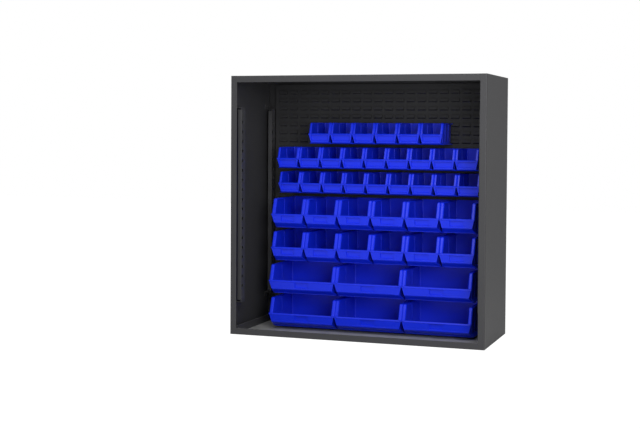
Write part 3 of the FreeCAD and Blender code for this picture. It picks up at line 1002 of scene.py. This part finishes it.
def soft_light(name, spot, target, width, height, watts):
    """A soft rectangular light that looks at a point."""
    data = bpy.data.lights.new(name, "AREA")
    data.shape = "RECTANGLE"
    data.size = width
    data.size_y = height
    data.energy = watts
    light = link_object(name, data)
    light.location = spot
    light.rotation_euler = (Vector(target) - Vector(spot)).to_track_quat("-Z", "Y").to_euler()


class BINCABINET_OT_shell(Operator):
    """Paint the sides, roof and floor, and the back in the darker panel paint as painted shade"""

    bl_idname = "bin_cabinet.paint_shell"
    bl_label = "Paint shell"

    def execute(self, context):
        paint = settings().paint
        paint_nodes(SHELL_NODES, "shell_powder_coat", paint.shell, paint.edge, paint.dustiness)
        # The floor pan's heavy dust lightens it, as dust and as painted light from above.
        paint_nodes(FLOOR_NODES, "floor_coat_dust_and_painted_light", paint.shell, paint.edge, paint.floor_dust)
        # The back takes the darker panel paint as painted shade.
        paint_nodes(BACK_NODES, "back_coat_painted_shade", paint.panel, paint.edge, paint.dustiness)
        return {"FINISHED"}


class BINCABINET_OT_uprights(Operator):
    """Paint the slotted uprights"""

    bl_idname = "bin_cabinet.paint_uprights"
    bl_label = "Paint uprights"

    def execute(self, context):
        paint = settings().paint
        paint_nodes(UPRIGHT_NODES, "upright_powder_coat", paint.upright, paint.fine_edge, paint.dustiness)
        return {"FINISHED"}


class BINCABINET_OT_brackets(Operator):
    """Paint the brackets that hold the uprights off the sides"""

    bl_idname = "bin_cabinet.paint_brackets"
    bl_label = "Paint brackets"

    def execute(self, context):
        paint = settings().paint
        paint_nodes(BRACKET_NODES, "bracket_powder_coat", paint.upright, paint.fine_edge, paint.dustiness)
        return {"FINISHED"}


class BINCABINET_OT_louvred_panel(Operator):
    """Press the louvred panel out of its sheet"""

    bl_idname = "bin_cabinet.press_louvred_panel"
    bl_label = "Press louvred panel"

    def execute(self, context):
        paint, louvres = settings().paint, settings().louvres
        mesh, back = louvred_sheet()
        fold_edges(mesh, back)
        panel = mesh_object("pressed_louvre_panel", mesh)
        thick = panel.modifiers.new("sheet", "SOLIDIFY")
        thick.thickness = louvres.sheet
        thick.offset = -1.0
        material = surface_material("panel_powder_coat", paint.panel, paint, paint.dustiness)
        panel.data.materials.append(material)
        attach(panel, CABINET)
        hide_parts(PANEL_NODE)
        return {"FINISHED"}


class BINCABINET_OT_small_bins(Operator):
    """Hang the small bins of the three upper rows"""

    bl_idname = "bin_cabinet.hang_small_bins"
    bl_label = "Hang small bins"

    def execute(self, context):
        hang_bins("small")
        return {"FINISHED"}


class BINCABINET_OT_medium_bins(Operator):
    """Hang the medium bins of the two middle rows"""

    bl_idname = "bin_cabinet.hang_medium_bins"
    bl_label = "Hang medium bins"

    def execute(self, context):
        hang_bins("medium")
        return {"FINISHED"}


class BINCABINET_OT_large_bins(Operator):
    """Hang the large bins of the two lowest rows"""

    bl_idname = "bin_cabinet.hang_large_bins"
    bl_label = "Hang large bins"

    def execute(self, context):
        hang_bins("large")
        return {"FINISHED"}


class BINCABINET_OT_stage(Operator):
    """Set the floor, the lights and the camera"""

    bl_idname = "bin_cabinet.set_stage"
    bl_label = "Set stage"

    def execute(self, context):
        stage = settings().stage
        floor = self.lay_floor(stage)
        self.light(context.scene, stage)
        self.set_camera(context.scene, stage)
        return {"FINISHED"}

    def lay_floor(self, stage):
        """A plain floor that looks evenly pale to the camera."""
        mesh = bmesh.new()
        bmesh.ops.create_grid(mesh, x_segments=4, y_segments=4, size=stage.floor_size / 2.0)
        floor = mesh_object("floor", mesh)
        material = bpy.data.materials.new("pale_floor")
        material.use_nodes = True
        tree = material.node_tree
        shader = tree.nodes["Principled BSDF"]
        shader.inputs["Base Color"].default_value = (*stage.floor, 1.0)
        shader.inputs["Roughness"].default_value = FLOOR_ROUGHNESS
        glow = tree.nodes.new("ShaderNodeEmission")
        glow.inputs["Strength"].default_value = FLOOR_GLOW
        mix = tree.nodes.new("ShaderNodeMixShader")
        rays = tree.nodes.new("ShaderNodeLightPath")
        seen = math_node(tree, "MULTIPLY", rays.outputs["Is Camera Ray"], stage.floor_glow)
        tree.links.new(seen, mix.inputs["Fac"])
        tree.links.new(shader.outputs["BSDF"], mix.inputs[1])
        tree.links.new(glow.outputs["Emission"], mix.inputs[2])
        tree.links.new(mix.outputs["Shader"], tree.nodes["Material Output"].inputs["Surface"])
        floor.data.materials.append(material)
        return floor

    def light(self, scene, stage):
        """Even light all round, a soft key above the front and a fill beside the camera."""
        world = bpy.data.worlds.new("studio")
        world.use_nodes = True
        tree = world.node_tree
        rays = tree.nodes.new("ShaderNodeLightPath")
        seen = rays.outputs["Is Camera Ray"]
        strength = math_node(tree, "MULTIPLY_ADD", seen, 1.0 - stage.ambient, stage.ambient)
        background = tree.nodes["Background"]
        background.inputs["Color"].default_value = (1.0, 1.0, 1.0, 1.0)
        tree.links.new(strength, background.inputs["Strength"])
        scene.world = world
        soft_light("key", stage.key_place, stage.key_target, stage.key_width, stage.key_height, stage.key)
        soft_light("fill", stage.fill_place, stage.fill_target, stage.fill_size, stage.fill_size, stage.fill)
        scene.view_settings.view_transform = "Standard"

    def set_camera(self, scene, stage):
        """The camera at the photograph's angle."""
        data = bpy.data.cameras.new("camera")
        data.sensor_width = SENSOR_WIDTH
        data.lens = stage.lens
        data.shift_y = stage.rise
        camera = link_object("camera", data)
        turn = Matrix.Rotation(stage.camera_turn, 4, "Z")
        tilt = Matrix.Rotation(math.pi / 2.0 - stage.camera_tilt, 4, "X")
        roll = Matrix.Rotation(stage.camera_roll, 4, "Z")
        camera.matrix_world = Matrix.Translation(stage.camera_place) @ turn @ tilt @ roll
        scene.camera = camera


OPERATORS = (
    BINCABINET_OT_shell,
    BINCABINET_OT_uprights,
    BINCABINET_OT_brackets,
    BINCABINET_OT_louvred_panel,
    BINCABINET_OT_small_bins,
    BINCABINET_OT_medium_bins,
    BINCABINET_OT_large_bins,
    BINCABINET_OT_stage,
)


class BINCABINET_PT_sidebar(Panel):
    """The steps that dress the bin cabinet, and its settings"""

    bl_idname = "BINCABINET_PT_sidebar"
    bl_label = "Bin Cabinet"
    bl_space_type = "VIEW_3D"
    bl_region_type = "UI"
    bl_category = "Bin Cabinet"

    def draw(self, context):
        for operator in OPERATORS:
            self.layout.operator(operator.bl_idname)
        for title in CabinetSettings.__annotations__:
            group = getattr(settings(), title)
            box = self.layout.box()
            box.label(text=title.capitalize())
            for field in type(group).__annotations__:
                box.prop(group, field)


CLASSES = (
    PaintSettings,
    PlasticSettings,
    BinSettings,
    SmallBin,
    DeepBin,
    LouvreSettings,
    StageSettings,
    CabinetSettings,
    *OPERATORS,
    BINCABINET_PT_sidebar,
)


def register():
    """Adds the classes and the scene's settings."""
    for kind in CLASSES:
        bpy.utils.register_class(kind)
    bpy.types.Scene.bin_cabinet = PointerProperty(type=CabinetSettings)


def unregister():
    """Takes the settings and the classes away."""
    del bpy.types.Scene.bin_cabinet
    for kind in reversed(CLASSES):
        bpy.utils.unregister_class(kind)


def main():
    """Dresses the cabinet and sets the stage."""
    register()
    bpy.ops.bin_cabinet.paint_shell()
    bpy.ops.bin_cabinet.paint_uprights()
    bpy.ops.bin_cabinet.paint_brackets()
    bpy.ops.bin_cabinet.press_louvred_panel()
    bpy.ops.bin_cabinet.hang_small_bins()
    bpy.ops.bin_cabinet.hang_medium_bins()
    bpy.ops.bin_cabinet.hang_large_bins()
    bpy.ops.bin_cabinet.set_stage()


if __name__ == "__main__":
    main()
